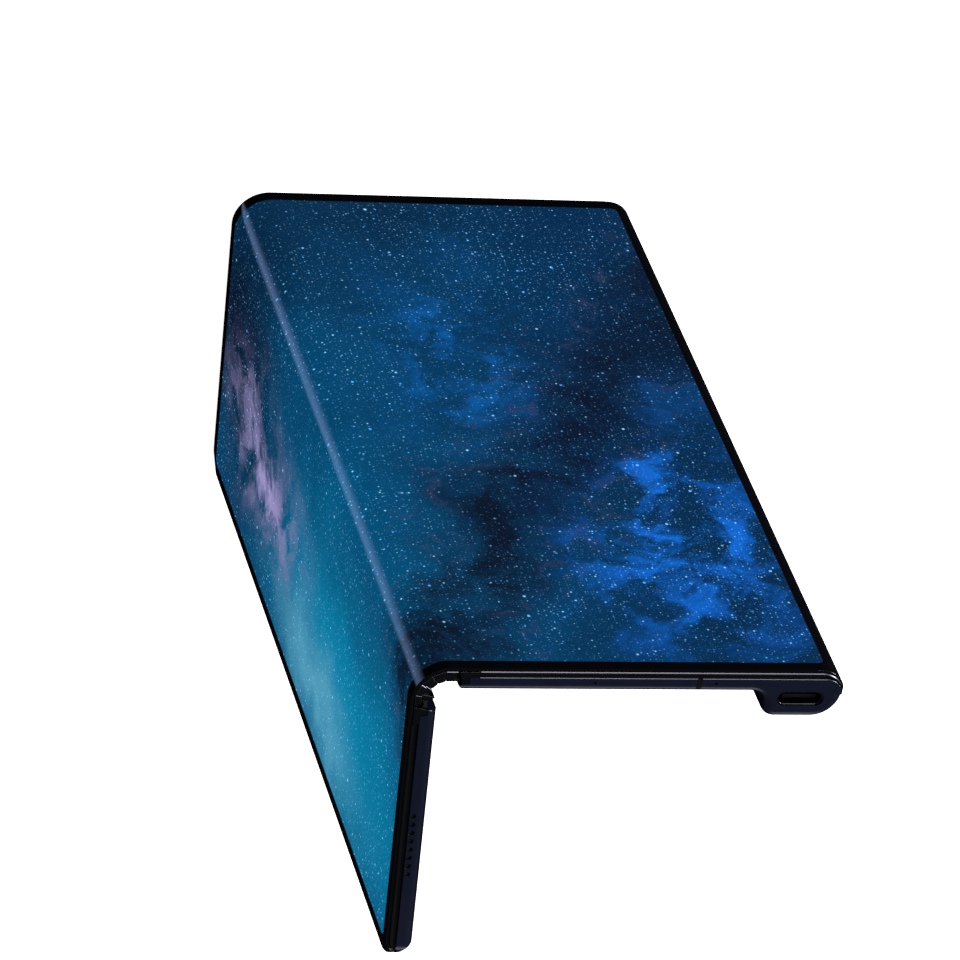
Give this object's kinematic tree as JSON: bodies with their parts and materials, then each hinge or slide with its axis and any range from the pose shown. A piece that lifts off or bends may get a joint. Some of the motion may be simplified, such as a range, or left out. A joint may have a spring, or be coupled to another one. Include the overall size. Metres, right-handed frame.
{
  "type": "foldable smartphone",
  "caption": "Foldable smartphone with one display over the outside of its fold, a thick grip along one edge and a slatted hinge, stored half folded.",
  "frame": {"origin": "centre of the bounding box across X and Y, on the plane of the far end faces that the phone stands on", "axes": "+Z along the fold, up to the end with the socket; -Y out of the main half's display; +X from the grip to the fold"},
  "size_m": [0.0824, 0.067, 0.1613],
  "materials": {
    "display_film": "gloss, with a starry picture inside a black border",
    "navy_frame": "satin anodised, very dark navy",
    "back_glass": "gloss, dark blue",
    "strip_glass": "gloss black",
    "camera_ring": "satin, dark",
    "lens_glass": "gloss, coated",
    "flash_lens": "pale, ribbed",
    "black_plastic": "matt",
    "socket_steel": "satin",
    "circuit_board": "satin solder mask",
    "plate_metal": "satin",
    "battery_pack": "matt foil",
    "screw_steel": "satin",
    "hinge_steel": "dark satin"
  },
  "bodies": {
    "main_half": {"main_frame": "navy_frame", "main_midplate": "plate_metal", "display_main": "display_film", "main_back_cover": "back_glass", "grip_cover": "strip_glass", "camera_rings": "camera_ring", "camera_lenses": "lens_glass", "camera_modules": "black_plastic", "flash_window": "flash_lens", "usb_shell": "socket_steel", "usb_tongue": "black_plastic", "main_circuit_board": "circuit_board", "board_shields": "plate_metal", "battery_main": "battery_pack", "hinge_bracket_main": "hinge_steel", "bracket_screws_main": "screw_steel", "antenna_bands": "black_plastic"},
    "link_1": {"hinge_link_1": "hinge_steel"},
    "link_2": {"hinge_link_2": "hinge_steel"},
    "link_3": {"hinge_link_3": "hinge_steel", "display_bend": "display_film"},
    "link_4": {"hinge_link_4": "hinge_steel"},
    "link_5": {"hinge_link_5": "hinge_steel"},
    "thin_half": {"thin_frame": "navy_frame", "thin_midplate": "plate_metal", "display_thin": "display_film", "thin_back_cover": "back_glass", "battery_thin": "battery_pack", "thin_circuit_board": "circuit_board", "speaker_module": "black_plastic", "vibration_motor": "plate_metal", "hinge_bracket_thin": "hinge_steel", "bracket_screws_thin": "screw_steel"},
    "power_button": {"power_button": "navy_frame"},
    "volume_rocker": {"volume_rocker": "navy_frame"},
    "release_button": {"release_button": "navy_frame"},
    "card_tray": {"card_tray": "navy_frame"}
  },
  "joints": [
    {"name": "fold_main_end", "type": "hinge", "parent": "main_half", "child": "link_1", "pos_m": [0.033, -0.03302, 0], "axis": [0, 0, 1], "range_deg": [0, 30]},
    {"name": "fold_middle_1", "type": "hinge", "parent": "link_1", "child": "link_2", "pos_m": [0.03568, -0.03302, 0], "axis": [0, 0, 1], "range_deg": [-23.75, 6.25], "deforming": ["display_bend"]},
    {"name": "fold_middle_2", "type": "hinge", "parent": "link_2", "child": "link_3", "pos_m": [0.03813, -0.03194, 0], "axis": [0, 0, 1], "range_deg": [-23.75, 6.25]},
    {"name": "fold_middle_3", "type": "hinge", "parent": "link_3", "child": "link_4", "pos_m": [0.03994, -0.02997, 0], "axis": [0, 0, 1], "range_deg": [-23.75, 6.25]},
    {"name": "fold_middle_4", "type": "hinge", "parent": "link_4", "child": "link_5", "pos_m": [0.04081, -0.02743, 0], "axis": [0, 0, 1], "range_deg": [-23.75, 6.25]},
    {"name": "fold_thin_end", "type": "hinge", "parent": "link_5", "child": "thin_half", "pos_m": [0.04057, -0.02476, 0], "axis": [0, 0, 1], "range_deg": [0, 30]},
    {"name": "power_button_press", "type": "slide", "parent": "main_half", "child": "power_button", "axis": [1, 0, 0], "range_m": [0, 0.0003], "stiffness_N_per_m": 1500, "springref_m": -0.0004},
    {"name": "volume_rocker_press", "type": "slide", "parent": "main_half", "child": "volume_rocker", "axis": [1, 0, 0], "range_m": [0, 0.0003], "stiffness_N_per_m": 1500, "springref_m": -0.0004},
    {"name": "release_button_press", "type": "slide", "parent": "main_half", "child": "release_button", "axis": [0, -1, 0], "range_m": [0, 0.0005], "stiffness_N_per_m": 1000, "springref_m": -0.0005},
    {"name": "card_tray_slide", "type": "slide", "parent": "thin_half", "child": "card_tray", "axis": [0, 0, -1], "range_m": [0, 0.014]}
  ],
  "couplings": [
    {"joint": "fold_main_end", "follows": "fold_thin_end", "ratio": 1},
    {"joint": "fold_middle_2", "follows": "fold_middle_1", "ratio": 1},
    {"joint": "fold_middle_3", "follows": "fold_middle_1", "ratio": 1},
    {"joint": "fold_middle_4", "follows": "fold_middle_1", "ratio": 1}
  ]
}
